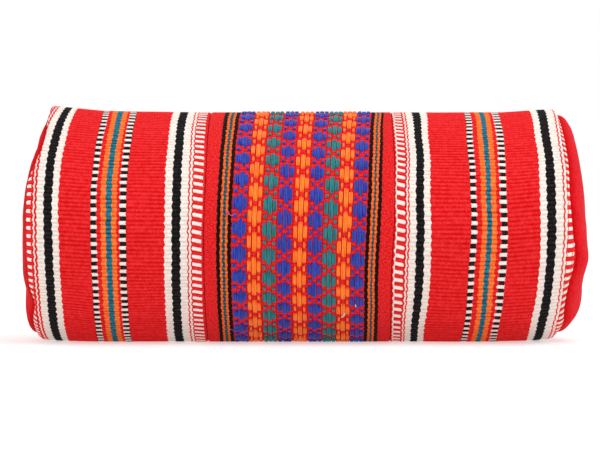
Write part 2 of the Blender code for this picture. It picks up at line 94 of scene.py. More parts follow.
HALF_LENGTH = (RIGHT_EDGE - LEFT_EDGE) / 2
BARREL_SHIFT = (RIGHT_EDGE + LEFT_EDGE) / 2
ZIP_BACK = 0.0200           # how far behind the crest the zip line lies
SLOT = 0.0140               # between the folded edges of the cloths
BAND_HALF = 0.04125
PANEL_WIDTH = HALF_LENGTH - BAND_HALF
WALL = 0.0020
SEAM_GAP = 0.00005          # from a seam's line to the cloth on each side of it
SEAM_ROUND = 0.0009         # radius of the cloths' edges beside the band
SEAM_TUCK = 0.0010          # how far these run on below the cloth
SEAM_DEPTHS = (WALL + SEAM_TUCK, WALL)
RIM_ROUND = 0.0026          # radius of the rims
RIM_TUCK = 0.0012           # how far a rim runs on below its rounding
RIM_HEM, RIM_HEM_DEPTH = 0.0030, 0.0042     # how far its hem lies inside, and how deep
HEM_OVER, HEM_SINK = 0.0003, 0.0009         # how far a fold beside the zip stands out, and how deep
HEM_UNDER = 0.0040          # how far the cloth runs back under that fold
SECTION_STEPS = 4000
SEAM_POINTS, RIM_POINTS = 4, 8              # that draw their roundings

# Where the end seams were sewn unevenly: side, place below the front, reach, and how far drawn in
SEAM_PULLS = (
    (-1, -0.077, 0.0110, 0.0022), (-1, -0.046, 0.0230, 0.0046), (-1, -0.017, 0.0080, -0.0010),
    (-1, 0.0455, 0.0100, 0.0021),
    (1, -0.012, 0.0110, 0.0007), (1, 0.018, 0.0105, -0.0021), (1, 0.062, 0.0090, -0.0012),
)

# How much more of each striped cloth shows outside its stripes at the crest of its end
CREST_GIVE = (0.0045, 0.0)

# The weave
RIB_DEPTH = 0.00034
RIB_PHASES = (0.0, 0.16, 0.39, 0.61, 0.84)      # the points that draw one rib
COLUMN_STEP = 0.0013        # from point to point across the flat of a panel
YARN = 0.72                 # millimetres from one warp yarn to the next
LEFT_WEAVE, RIGHT_WEAVE = (0.001855, 0.21, 0.0004), (0.001960, 0.55, -0.0028)      # pick, phase, stretch
BAND_PICK, BAND_PHASE, BAND_STRETCH = BAND_WEAVE = (0.001905, 1.71, 0.0015)
STRETCH_REACH = 0.196       # length of the slow wave in which the picks lie closer or wider
STRETCH_EASE, PANEL_EASE, BAND_DIP_EASE = 0.030, 0.010, 0.012   # lengths of cloth in which they even out
# Size and reach of small irregularities: of the picks, of the cloth's face, of the warp
PICK_WANDER, FACE_WANDER, WARP_WANDER = (0.00022, 0.035), (0.00010, 0.030), (0.0002, 0.05)
FACE_CEILING = 0.0002       # the most that the face swells out
BAND_WANDER = (0.00012, 0.02)   # of the band's picks
# Where the picks lie lower besides: place below the front, reach, and how much lower
LEFT_DIPS = ((-0.0310, 0.0120, 0.0007), (0.0550, 0.0160, 0.0010))
RIGHT_DIPS = ((-0.0050, 0.0080, 0.0004), (0.0560, 0.0150, 0.0018))
BAND_DIPS = ((-0.0440, 0.0130, 0.0006), (-0.0215, 0.0150, 0.0009), (0.0590, 0.0180, 0.0028))
RIGHT_SEAM_DIPS = (
    (-0.0500, 0.0110, -0.0010), (-0.0240, 0.0170, -0.0019), (0.0270, 0.0150, -0.0018),
    (0.0470, 0.0110, -0.0011),
)
SEAM_DIP_REACH = 0.030      # how far the right cloth's dips beside the band reach into it
BAND_DIP_SPREAD = 0.4       # how much more the band's picks dip at its right, and less at its left
SEAM_SLOPE = 0.20           # the panels' picks slope down to the right beside the band
SEAM_SLOPE_REACH = 0.0050
BAND_PHASES = (0.0, 0.2, 0.5, 0.8)
BAND_SLOPE = 0.062          # the band's picks slope down to the right
MARGIN_RIB, MARGIN_POINTS = 0.00012, 4      # in the band's plain margins: depth of ribs, points across
PINS_START, PINS_STEP = 0.0060, 0.0005      # from there points lie closer in the margins, this far apart
PINS_BEFORE, PINS_AFTER = 0.0006, 0.0002    # from the plain points to those, and from those to the pattern
COLUMNS = (
    ("blue", 0.0067), ("orange", 0.0066), ("teal", 0.0065), ("blue", 0.0068), ("orange", 0.0068),
    ("blue", 0.0064), ("teal", 0.0064), ("orange", 0.0061), ("blue", 0.0064),
)
CELLS = 3                   # narrow columns of cells in each pattern column
CELL_PHASES = (0.0, 0.25, 0.75)
CELL_RISE = 0.00045         # of a cell's middle over its grooves
REPEAT_PICKS = 6
FIRST_FLOAT = 2.5           # pick at the middle of a float of the first column
# A column's three floats and two dots: from its middle, wide, picks long, and picks later
FLOATS = (
    (-0.00210, 0.00168, 3.3, 0), (0.0, 0.00190, 5.3, 0), (0.00205, 0.00165, 3.3, 0),
    (-0.00200, 0.00120, 1.0, 3), (0.00200, 0.00120, 1.0, 3),
)
FIRST_FLOATS = (
    (-0.00160, 0.00255, 3.3, 0), (0.00055, 0.00190, 5.3, 0), (0.00245, 0.00150, 3.3, 0),
    (-0.00185, 0.00170, 1.1, 3), (0.00260, 0.00110, 1.0, 3),
)
HEM_PICKS = 1.2             # plain picks that every float keeps from the folded edges
ORANGE_DOTS = 1.6           # how much longer and narrower the dots of orange thread are
STRAND_PLACES = (-1.0, -0.9, -0.62, -0.2, 0.2, 0.62, 0.9, 1.0)
STRAND_SIDES = 5
STRAND_SINK, STRAND_DIVE = 0.00010, 0.0004  # how deep a strand's sides lie, and its ends besides
FLOAT_RISE = 0.00068        # of a float's middle strand

# The zip
COIL_PITCH = 0.00127
COIL_WIRE = 0.00036         # radius of the coil's wire
COIL_POINTS = 12            # of a turn
COIL_NEAR, COIL_FAR = 0.0005, 0.0031        # from the zip line
COIL_CEILING, COIL_FLOOR = 0.0002, 0.0020   # below the cloth's face
STITCH, STITCH_STEP = 0.0024, 0.0032
STITCH_END = 0.0060         # from a rim to the outermost stitch
THREAD = 0.00022            # radius of the sewing thread
STITCH_INSET = 0.0022       # from a cloth's folded edge to its row of stitches
COVER_GAP, COVER_ROUND = 0.0004, 0.0007     # of the patches beyond the zip's ends, and their edges' radius
COVER_SINK, COVER_POINTS = 0.0002, (24, 20)     # how much lower these lie, and points along and across one
SLIDER_EDGE, STOP_EDGE = 0.00018, 0.00010       # widths of the metal's soft edges

# Fineness of the plain cloths, in millimetres
TWILL_RIDGE, TWILL_THREAD = 0.42, 0.30
TAPE_RIB, TAPE_WARP = 0.28, 0.35
COTTON_THREAD = 0.25

COLOURS = {
    "red": (0.775, 0.021, 0.025), "white": (0.860, 0.790, 0.730), "black": (0.012, 0.009, 0.011),
    "orange": (0.910, 0.225, 0.042), "teal": (0.022, 0.200, 0.265), "twill": (0.700, 0.024, 0.036),
    "band_red": (0.755, 0.027, 0.030), "band_orange": (0.950, 0.190, 0.020),
    "band_teal": (0.012, 0.180, 0.195), "band_blue": (0.023, 0.054, 0.335),
    "pin_teal": (0.050, 0.185, 0.195), "pin_black": (0.020, 0.010, 0.009),
}

PALE_HAIRS = (0.80, 0.70, 0.78, 1)      # fibres that catch the light

# Lint and loose ends of thread on the band: colour, radius, places along the barrel and below the front
LOOSE_RISE = 0.0008
LOOSE_THREADS = {
    "pink_lint": ((0.90, 0.06, 0.22), 0.00042, (
        (-0.0316, -0.0053), (-0.0310, -0.0058), (-0.0305, -0.0051), (-0.0311, -0.0047), (-0.0303, -0.0046))),
    "pink_thread": ((0.72, 0.12, 0.36), 0.00016, (
        (-0.0303, -0.0046), (-0.0296, -0.0042), (-0.0291, -0.0038), (-0.0285, -0.0043), (-0.0277, -0.0048))),
    "white_thread": ((0.95, 0.80, 0.72), 0.00026, (
        (0.0204, 0.0447), (0.0205, 0.0457), (0.0202, 0.0468), (0.0198, 0.0476), (0.0192, 0.0481))),
    "white_speck": ((0.90, 0.82, 0.90), 0.00026, ((0.0254, 0.0393), (0.0255, 0.0399), (0.0256, 0.0406))),
    "blue_thread": ((0.03, 0.10, 0.62), 0.00024, (
        (-0.0306, 0.0577), (-0.0300, 0.0580), (-0.0293, 0.0590), (-0.0287, 0.0599), (-0.0277, 0.0598),
        (-0.0268, 0.0587), (-0.0259, 0.0572))),
}

# Stripes from the seam beside the band outwards: colours of the odd and the even picks, millimetres
PLAIN = ("red", "white", "black", "orange", "teal", "band_red", "pin_teal", "pin_black")
RED, WHITE, BLACK, ORANGE, TEAL, BAND_RED, PIN_TEAL, PIN_BLACK = ((colour, colour) for colour in PLAIN)
RED_TICKS, BLACK_TICKS, WHITE_TICKS = ("red", "white"), ("black", "white"), ("white", "black")
RIGHT_STRIPES = (
    (RED, 0.6), (WHITE, 0.36), (RED_TICKS, 3.4), (RED, 0.8), (WHITE, 0.6), (RED, 0.8),
    (WHITE, 2.7), (BLACK, 3.5), (WHITE, 3.0), (RED, 17.0),
    (BLACK_TICKS, 2.6), (RED, 2.2), (ORANGE, 2.2), (TEAL, 2.4), (ORANGE, 2.2), (RED, 1.7),
    (WHITE_TICKS, 2.8), (RED, 14.4),
    (WHITE, 2.8), (BLACK, 3.8), (WHITE, 3.2), (RED, 0.7), (WHITE, 0.9), (RED, 0.5), (RED_TICKS, 2.2),
    (RED, 0.3), (RED_TICKS, 0.6), (RED, 3.0),
)
LEFT_STRIPES = (
    (RED, 0.65), (WHITE, 0.26), (RED_TICKS, 2.15), (RED, 0.35), (RED_TICKS, 1.2), (RED, 0.8), (WHITE, 0.8),
    (RED, 0.9), (WHITE, 3.0), (BLACK, 3.6), (WHITE, 3.3), (RED, 16.3),
    (BLACK_TICKS, 2.8), (RED, 1.3), (ORANGE, 2.2), (TEAL, 2.5), (ORANGE, 2.2), (RED, 1.7),
    (WHITE_TICKS, 2.6), (RED, 13.8),
    (WHITE, 2.9), (BLACK, 3.7), (WHITE, 3.2), (RED, 0.8), (WHITE, 0.7), (RED, 0.8), (RED_TICKS, 1.9),
    (RED, 3.0),
)
BAND_STRIPES = (
    (BAND_RED, 5.35), (PIN_BLACK, 1.6), (ORANGE, 1.05), (PIN_TEAL, 1.3), (ORANGE, 0.9), (PIN_BLACK, 1.7),
    (BAND_RED, 58.6),
    (PIN_BLACK, 1.45), (ORANGE, 0.95), (PIN_TEAL, 1.2), (ORANGE, 0.9), (PIN_BLACK, 1.45), (BAND_RED, 6.05),
)
PATTERN_REACH, PINS_REACH = 29.3, 35.3      # half widths of the pattern without and with its pin-stripes


def total_width(stripes):
    """The width of some stripes together, in millimetres."""
    return sum(width for _, width in stripes)


LEFT_MARGIN = total_width(BAND_STRIPES[:6]) / 1000
RIGHT_MARGIN = total_width(BAND_STRIPES[7:]) / 1000
EVEN_EDGES = np.linspace(LEFT_MARGIN, 2 * BAND_HALF - RIGHT_MARGIN, len(COLUMNS) + 1)
COLUMN_EDGES = LEFT_MARGIN + np.concatenate(([0.0], np.cumsum([width for _, width in COLUMNS])))


def outline_radius(angle):
    """Distance of the barrel's outline from its axis, at angles from the back, over the crest."""
    upper = np.sin(angle) >= 0
    rise = np.where(upper, CREST_RISE, BASE_DROP)
    shoulder = np.where(upper, UPPER_SHOULDER, LOWER_SHOULDER)
    middle = (HALF_DEPTH + rise) / 2
    wide = (HALF_DEPTH - rise) / 2
    return (middle + shoulder) / 2 + wide * np.cos(2 * angle) + (middle - shoulder) / 2 * np.cos(4 * angle)


def measured_outline():
    """The outline's length, points and outward normals, once round from the zip line."""
    back = np.linspace(pi / 2, pi / 4, SECTION_STEPS)
    start = np.interp(ZIP_BACK, outline_radius(back) * np.cos(back), back)
    angle = start + np.linspace(0, 2 * pi, SECTION_STEPS + 1)
    radius = outline_radius(angle)
    y, z = radius * np.cos(angle), radius * np.sin(angle)
    length = np.concatenate(([0.0], np.cumsum(np.hypot(np.diff(y), np.diff(z)))))
    dy, dz = np.gradient(y), np.gradient(z)
    size = np.hypot(dy, dz)
    return length, y, z, dz / size, -dy / size


OUTLINE = measured_outline()
GIRTH = OUTLINE[0][-1]
FRONT = np.interp(-pi, -np.unwrap(np.arctan2(OUTLINE[2], OUTLINE[1]) % (2 * pi))[::-1], OUTLINE[0][::-1])


def outline_height(along):
    """How far over the axis the outline lies."""
    return np.interp(along % GIRTH, OUTLINE[0], OUTLINE[2])


def hem_ease(along, reach):
    """0 at the folded edges beside the zip, and 1 from this far away."""
    around = along % GIRTH
    return np.clip((np.minimum(around, GIRTH - around) - SLOT / 2) / reach, 0, 1)


def nearness(x):
    """How near a place along the barrel is to an end seam: 0 in the middle, 1 at the seam."""
    return np.clip(1 - (HALF_LENGTH - np.abs(x)) / LIFT_RUN, 0, None)


def drawn_in(x, along):
    """How far a place is drawn in towards the middle by the end seam: most at the crest."""
    z = outline_height(along)
    near = nearness(x)
    draw = near * SEAM_DRAW * (np.clip(z, 0, None) / CREST_RISE) ** 2
    for side, place, reach, size in SEAM_PULLS:
        pull = size * np.exp(-((along % GIRTH - FRONT - place) / reach) ** 2)
        draw = draw + (np.sign(x) == side) * near ** 3 * pull
    return draw


def leaned(x, along):
    """How far the slumped cloth leans towards +X, the band more than its neighbours."""
    z = outline_height(along)
    rise, low = np.clip(z / CREST_RISE, 0, None), np.clip(-z / BASE_DROP, 0, None)
    inside = np.clip((BAND_HALF - np.abs(x)) / BAND_EASE, 0, 1) * (1 + BAND_SPREAD * x / BAND_HALF)
    below = along % GIRTH - FRONT
    beside = np.clip(1 - (np.abs(x) - BAND_HALF) / BAND_LEAN_FADE, 0, 1)
    lean = CREST_LEAN * rise ** 3 + BAND_CREST_LEAN * inside * rise ** 2.2
    lean = lean - BASE_LEAN * (1 - beside) * low ** 1.5
    skew = 1 + BAND_LEAN_SKEW * np.clip(x / BAND_HALF, -1.2, 1.2) * (below > 0)
    return lean - BAND_LEAN * below * np.exp(-(below / BAND_LEAN_REACH) ** 2) * beside * skew


def barrel(x, along, depth):
    """Points of the cloth: along the barrel, along its outline, and below its outer face."""
    x, along, depth = np.broadcast_arrays(x, along, depth)
    y, z, out_y, out_z = (np.interp(along % GIRTH, OUTLINE[0], row) for row in OUTLINE[1:])
    near = nearness(x)
    z = np.where(z < 0, z * (1 - near * BASE_RISE / BASE_DROP), z)
    eased = hem_ease(along, CREST_LIFT_EASE) * np.clip(z / CREST_RISE, 0, 1)
    crest_lift = LEFT_CREST_LIFT * np.clip(1 - (HALF_LENGTH + x) / LEFT_LIFT_RUN, 0, 1) * eased
    height = FLOOR_DROP + END_LIFT * near + crest_lift + z - depth * out_z
    height = np.maximum(height, np.clip(depth, 0, None))
    place = x - np.sign(x) * drawn_in(x, along) + leaned(x, along) + BARREL_SHIFT
    return np.stack((place, y - depth * out_y, height), axis=-1)


def stretched(along, size):
    """Places along the outline after the picks were beaten up closer here and wider there."""
    return along + size * hem_ease(along, STRETCH_EASE) * np.cos((along - FRONT) * 2 * pi / STRETCH_REACH)


def dipped(along, dips):
    """How much lower the picks lie at these places than even beating puts them."""
    return sum(size * np.exp(-((along - FRONT - place) / reach) ** 2) for place, reach, size in dips)


def wander(x, y, size, reach, seed):
    """A smooth irregular offset: a few long waves of a length near reach, in seeded directions."""
    rng = np.random.default_rng(seed)
    total = 0
    for _ in range(5):
        turn, phase = rng.uniform(0, 2 * pi, 2)
        wave = 2 * pi / (reach * rng.uniform(0.6, 1.6))
        total = total + np.sin(wave * (x * np.cos(turn) + y * np.sin(turn)) + phase)
    return size * total / 2.2


def grid_mesh(name, points, uv, flip=False):
    """A mesh of quads from a grid of points, with a UV map of what its material needs to know."""
    rows, columns = points.shape[:2]
    index = np.arange(rows * columns).reshape(rows, columns)
    corners = [index[:-1, :-1], index[1:, :-1], index[1:, 1:], index[:-1, 1:]]
    if flip:
        corners.reverse()
    return quad_mesh(name, points, np.stack(corners, axis=-1), Weave=uv)


def quad_mesh(name, points, faces, **maps):
    """A smooth mesh from points, quads, and named UV maps with one place for each point."""
    mesh = bpy.data.meshes.new(name)
    mesh.from_pydata(points.reshape(-1, 3).tolist(), [], faces.reshape(-1, 4).tolist())
    for label, places in maps.items():
        corners = mesh.uv_layers.new(name=label).data
        corners.foreach_set("uv", places.reshape(-1, 2)[faces.ravel()].astype(np.float32).ravel())
    mesh.validate()
    mesh.shade_smooth()
    return mesh


def new_object(name, data):
    """An object in the scene."""
    obj = bpy.data.objects.new(name, data)
    bpy.context.scene.collection.objects.link(obj)
    return obj


def add_piece(name, mesh, body, material, replaces=()):
    """Puts a piece in the scene, on its body and in the place of its solids."""
    obj = new_object(name, mesh)
    mesh.materials.append(material)
    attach(obj, body)
    if replaces:
        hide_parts(*replaces)


def node_sum(operation, turned=False):
    """An operator of values in a node tree: it adds a Math node."""
    def result(self, *others):
        values = (self, *others)
        return self.shader.math(operation, *(values[::-1] if turned else values))
    return result


class Value:
    """What a node of a material gives. Sums can be written with it."""

    __add__, __sub__, __mul__ = node_sum("ADD"), node_sum("SUBTRACT"), node_sum("MULTIPLY")
    __truediv__, __pow__, __abs__ = node_sum("DIVIDE"), node_sum("POWER"), node_sum("ABSOLUTE")
    __rsub__ = node_sum("SUBTRACT", turned=True)

    def __init__(self, shader, socket):
        self.shader = shader
        self.socket = socket

    def clamped(self):
        """The result of a sum, kept from 0 to 1."""
        self.socket.node.use_clamp = True
        return self


class Shader:
    """A material's node tree, with short calls for the nodes that are used here."""

    def __init__(self, name, roughness=0.85, metallic=0.0, sheen=0.0, specular=0.15):
        self.material = bpy.data.materials.new(name)
        self.material.use_nodes = True
        self.tree = self.material.node_tree
        self.surface = self.tree.nodes["Principled BSDF"]
        for socket, value in (("Roughness", roughness), ("Metallic", metallic), ("Sheen Weight", sheen),
                              ("Sheen Roughness", 0.4), ("Specular IOR Level", specular)):
            self.surface.inputs[socket].default_value = value

    def feed(self, socket, value):
        """Links what a node gives to a socket, or sets a plain value."""
        if isinstance(value, Value):
            self.tree.links.new(value.socket, socket)
        else:
            socket.default_value = value

    def node(self, kind, inputs, **settings):
        """A node with its settings, fed by name or by place."""
        made = self.tree.nodes.new("ShaderNode" + kind)
        for name, value in settings.items():
            setattr(made, name, value)
        for key, value in inputs.items():
            self.feed(made.inputs[key], value)
        return made

    def value(self, kind, inputs, output=0, **settings):
        """What such a node gives."""
        return Value(self, self.node(kind, inputs, **settings).outputs[output])

    def math(self, operation, *values):
        """The result of one sum."""
        return self.value("Math", dict(enumerate(values)), operation=operation)

    def mix(self, share, first, second, blend="MIX"):
        """Two colours mixed."""
        return self.value("Mix", {0: share, 6: first, 7: second}, 2, data_type="RGBA", blend_type=blend)

    def noise(self, place, scale=1.0, detail=2.0):
        """Noise about 0.5 at a place of two or three coordinates."""
        vector = self.value("CombineXYZ", dict(enumerate(place)))
        return self.value("TexNoise", {"Vector": vector, "Scale": scale, "Detail": detail})

    def split(self, vector):
        """The coordinates of a vector."""
        return [Value(self, part) for part in self.node("SeparateXYZ", {0: vector}).outputs]

    def map_place(self, label="Weave"):
        """The two values of a UV map: for cloth, millimetres across its warp and picks along it."""
        return self.split(self.value("UVMap", {}, uv_map=label))[:2]

    def object_place(self):
        """The piece's own X, Y and Z in millimetres."""
        place = self.value("TexCoord", {}, "Object")
        return self.split(self.value("VectorMath", {0: place, "Scale": 1000.0}, operation="SCALE"))

    def finish(self, colour, height=None, distance=0.0001):
        """Feeds the surface its colour, and the bumps of its threads."""
        self.feed(self.surface.inputs["Base Color"], colour)
        if height is not None:
            bump = self.value("Bump", {"Height": height, "Distance": distance})
            self.feed(self.surface.inputs["Normal"], bump)
        return self.material

    def shaded(self, colour, share, strength):
        """A colour made deeper and darker where threads dip: painted shade in grooves and folds, and random
        mottling.
        """
        deep = self.value("Gamma", {"Color": colour, "Gamma": share * strength + 1})
        keep = 1 - share * (0.13 * strength)
        return self.value("VectorMath", {0: deep, "Scale": keep}, operation="SCALE")


def is_white_tick(colours, pick):
    """Whether a stripe shows a white tick on this pick."""
    return colours is not None and colours[0] != colours[1] and colours[pick] == "white"


def ramp_colours(shader, share, stripes, pick, swell=0.06):
    """The colours that one pick shows across the cloth. White ticks swell a little."""
    node = shader.node("ValToRGB", {"Fac": share})
    ramp = node.color_ramp
    ramp.interpolation = "CONSTANT"
    total = total_width(stripes)
    edge = 0.0
    before = None
    for colours, width in stripes:
        place = (edge + swell * (is_white_tick(before, pick) - is_white_tick(colours, pick))) / total
        colour = COLOURS[colours[pick]]
        if before is None or colour != COLOURS[before[pick]]:
            stop = ramp.elements[0] if before is None else ramp.elements.new(place)
            stop.color = (*colour, 1)
        edge += width
        before = colours
    ramp.elements.remove(ramp.elements[-1])
    return Value(shader, node.outputs["Color"])


def rib_phase(shader, picks):
    """How far from a rib's top a point lies, and whether its pick is odd or even, 1 or 0."""
    return abs(shader.math("FRACT", picks) * 2 - 1), shader.math("PINGPONG", picks + 0.5, 1)


def groove_shade_strength(shader, across, picks):
    """How dark the painted shade in the groove between two ribs is, which changes along it."""
    groove = shader.math("ROUND", picks)
    slow = shader.noise((across * 0.09, groove * 3.7), detail=1)
    dash = shader.noise((across * 0.85, groove * 5.3))
    return (slow * 2.4 + dash * 1.9 - 1.55).clamped()


def frayed_place(across, from_top, turn, scallop, fuzz, slow):
    """Place across the warp, moved where a pick bulges, a fibre strays or the warp drifts."""
    bulge = (1 - from_top * from_top) * (turn - 0.5) * scallop
    return across + bulge + fuzz * 0.6 + slow * 0.8 - 0.7


def yarn_height(shader, across, picks, turn):
    """The warp yarns' pads, shifted by half a yarn from pick to pick, and their height with its twist."""
    odd = shader.math("GREATER_THAN", turn, 0.5)
    place = across / YARN + odd * 0.5 + shader.noise((across, picks), 0.35) * 1.2
    side = shader.math("FRACT", place) * 2 - 1
    pad = 1 - side * side
    return pad, shader.noise((across * 5, picks * 2.5)) * 0.8 + pad


def striped_cloth(name, stripes):
    """Warp-faced cloth: the odd picks show one set of warp colours and the even picks the other."""
    shader = Shader(name, roughness=0.9)
    across, picks = shader.map_place()
    from_top, turn = rib_phase(shader, picks)
    fuzz = shader.noise((across * 1.6, picks * 1.6))
    slow = shader.noise((across * 0.08, picks * 0.11))
    share = frayed_place(across, from_top, turn, 0.56, fuzz, slow) / total_width(stripes)
    odd = ramp_colours(shader, share, stripes, 0)
    even = ramp_colours(shader, share, stripes, 1)
    edge = turn + fuzz * 0.16 - 0.08
    colour = shader.mix(shader.math("LESS_THAN", edge, 0.5), odd, even)
    between = shader.math("COMPARE", edge, 0.5, 0.035)
    colour = shader.mix(between, colour, shader.mix(1.0, odd, even, "DARKEN"))
    hairs = shader.noise((across * 3, picks * 1.3), detail=3)
    colour = shader.mix((hairs * 0.16 - 0.08).clamped(), colour, PALE_HAIRS)
    pad, height = yarn_height(shader, across, picks, turn)
    # Painted shade in the grooves between ribs and between warp yarns, with random mottling besides
    groove_shade = from_top ** 2.2 * (groove_shade_strength(shader, across, picks) * 0.78 + 0.1)
    patches = shader.noise((across * 0.5, picks * 0.7), detail=3)
    dip = (groove_shade + (1 - pad) * 0.1 + fuzz * 0.7 + patches * 0.9 - 0.75).clamped()
    return shader.finish(shader.shaded(colour, dip, 1), height, 0.00012)


def rib_places(pick, phase, stretch, phases=RIB_PHASES):
    """Places along the outline that draw each rib by a few points, with their pick numbers."""
    start, end = SLOT / 2, GIRTH - SLOT / 2
    first = np.ceil((start - FRONT) / pick + phase)
    last = np.floor((end - FRONT) / pick + phase)
    picks = (np.arange(first, last)[:, None] + np.array(phases)).ravel()
    picks = np.concatenate(([(start - FRONT) / pick + phase], picks, [last, (end - FRONT) / pick + phase]))
    return stretched((picks - phase) * pick + FRONT, stretch), picks


def rib_drop(picks):
    """How deep a point lies below the ribs' tops."""
    from_top = np.abs(2 * (picks % 1) - 1)
    return RIB_DEPTH * from_top ** 2.6


def quarter_round(radius, count):
    """Places over a turned edge: distances from the edge, and depths."""
    angle = np.linspace(pi / 2, 0, count)
    return radius * (1 - np.sin(angle)), radius * (1 - np.cos(angle))


def with_hems(x, depth, points, uv):
    """A cloth's rows of points and its map, with the edges that are folded under beside the zip."""
    hems = []
    for start, inwards in ((SLOT / 2, 1), (GIRTH - SLOT / 2, -1)):
        fold = barrel(x, start - HEM_OVER * inwards, depth + HEM_SINK)
        under = barrel(x, start + HEM_UNDER * inwards, WALL)
        hems.append((fold, under))
    points = np.concatenate((hems[0][::-1], points, hems[1]))
    near, far = (0, 1), (0, 4)      # picks that the fold and the cloth under it run on
    return points, np.concatenate((uv[:1] - far, uv[:1] - near, uv, uv[-1:] + near, uv[-1:] + far))


def panel_columns():
    """Across a panel from the band's seam: places, depths and widths of cloth."""
    seam = quarter_round(SEAM_ROUND, SEAM_POINTS)
    rim = quarter_round(RIM_ROUND, RIM_POINTS)
    flat = np.arange(2 * SEAM_ROUND, PANEL_WIDTH - RIM_ROUND - COLUMN_STEP / 2, COLUMN_STEP)
    cloth = np.concatenate(([0, 0], seam[0], flat, PANEL_WIDTH - rim[0][::-1],
                            [PANEL_WIDTH, PANEL_WIDTH - RIM_HEM]))
    hem = (RIM_ROUND + RIM_TUCK, RIM_HEM_DEPTH)
    depth = np.concatenate((SEAM_DEPTHS, seam[1], 0 * flat, rim[1][::-1], hem))
    return cloth + SEAM_GAP * (cloth < PANEL_WIDTH / 2), depth, cloth


def striped_panel(name, side, weave, dips, seam_dips, stripes, seed):
    """One striped cloth, ribbed by its picks and turned in at all four edges."""
    place, depth, cloth = panel_columns()
    alongs, picks = rib_places(*weave)
    x = side * (BAND_HALF + place)
    x_grid, along_grid = np.meshgrid(x, alongs)
    picks_grid = np.meshgrid(x, picks)[1]
    from_seam = np.clip(SEAM_SLOPE_REACH - np.abs(x_grid) + BAND_HALF, 0, None)
    beside = np.clip(1 - (np.abs(x_grid) - BAND_HALF) / SEAM_DIP_REACH, 0, 1)
    dip = dipped(along_grid, dips) + beside * dipped(along_grid, seam_dips)
    dip = dip + wander(x_grid, along_grid, *PICK_WANDER, seed) - side * SEAM_SLOPE * from_seam
    along_grid = along_grid + hem_ease(along_grid, PANEL_EASE) * dip
    swell = wander(x_grid, along_grid, *FACE_WANDER, seed + 1)
    drop = depth + rib_drop(picks_grid) * (depth < WALL / 2)
    points = barrel(x_grid, along_grid, drop - np.minimum(swell, FACE_CEILING))
    warp = cloth + wander(along_grid, x_grid, *WARP_WANDER, seed + 2)
    rise = np.clip(outline_height(along_grid) / CREST_RISE, 0, 1)
    warp = warp - drawn_in(x_grid, along_grid) + CREST_GIVE[side > 0] * nearness(x_grid) * rise ** 6
    uv = np.stack((warp * 1000, picks_grid), axis=-1)
    mesh = grid_mesh(name, *with_hems(x, depth, points, uv), flip=side > 0)
    add_piece(name, mesh, "pouch", striped_cloth(name, stripes), replaces=(name,))


def pattern_columns():
    """Across the band from its left seam: places and depths, closer together in the pattern."""
    seam = quarter_round(SEAM_ROUND, SEAM_POINTS)
    width = 2 * BAND_HALF
    cells = CELLS * len(COLUMNS)
    cell = (width - LEFT_MARGIN - RIGHT_MARGIN) / cells
    pattern = (LEFT_MARGIN + cell * (np.arange(cells)[:, None] + np.array(CELL_PHASES))).ravel()
    plain = np.linspace(2 * SEAM_ROUND, PINS_START - PINS_BEFORE, MARGIN_POINTS)
    left = np.concatenate((plain, np.arange(PINS_START, LEFT_MARGIN - PINS_AFTER, PINS_STEP)))
    right = width - left[left < RIGHT_MARGIN][::-1]
    place = np.concatenate(([0, 0], seam[0], left, pattern, right, width - seam[0][::-1], [width, width]))
    level = np.zeros(left.size + pattern.size + right.size)
    depth = np.concatenate((SEAM_DEPTHS, seam[1], level, seam[1][::-1], SEAM_DEPTHS[::-1]))
    return place, depth, cell


def cell_drop(place, picks, cell):
    """How deep the band's ground lies below its cells' tops, and how far that shows at a place."""
    inside = (place > LEFT_MARGIN) & (place < 2 * BAND_HALF - RIGHT_MARGIN)
    side = np.abs(2 * (((place - LEFT_MARGIN) / cell) % 1) - 1)
    from_top = np.abs(2 * (picks % 1) - 1)
    pad = (1 - side ** 2.5) * (1 - from_top ** 2.5)
    return np.where(inside, CELL_RISE * (1 - pad), MARGIN_RIB * from_top ** 2)


def centre_band():
    """The patterned band's ground, whose picks slope down to the right."""
    place, depth, cell = pattern_columns()
    alongs, picks = rib_places(*BAND_WEAVE, BAND_PHASES)
    inside = (place > LEFT_MARGIN) & (place < EVEN_EDGES[-1])
    x = np.where(inside, np.interp(place, EVEN_EDGES, COLUMN_EDGES), place) - BAND_HALF
    x = np.clip(x, SEAM_GAP - BAND_HALF, BAND_HALF - SEAM_GAP)
    x_grid, along_grid = np.meshgrid(x, alongs)
    place_grid, picks_grid = np.meshgrid(place, picks)
    dip = dipped(along_grid, BAND_DIPS) * (1 + BAND_DIP_SPREAD * x_grid / BAND_HALF)
    dip = dip + wander(x_grid, along_grid, *BAND_WANDER, seed=31)
    along_grid = along_grid + hem_ease(along_grid, BAND_DIP_EASE) * (BAND_SLOPE * x_grid + dip)
    drop = depth + cell_drop(place_grid, picks_grid, cell) * (depth < WALL / 2)
    uv = np.stack((place_grid * 1000, picks_grid), axis=-1)
    points, uv = with_hems(x, depth, barrel(x_grid, along_grid, drop), uv)
    mesh = grid_mesh("centre_band", points, uv, flip=True)
    add_piece("centre_band", mesh, "pouch", band_cloth(cell), replaces=("centre_band",))


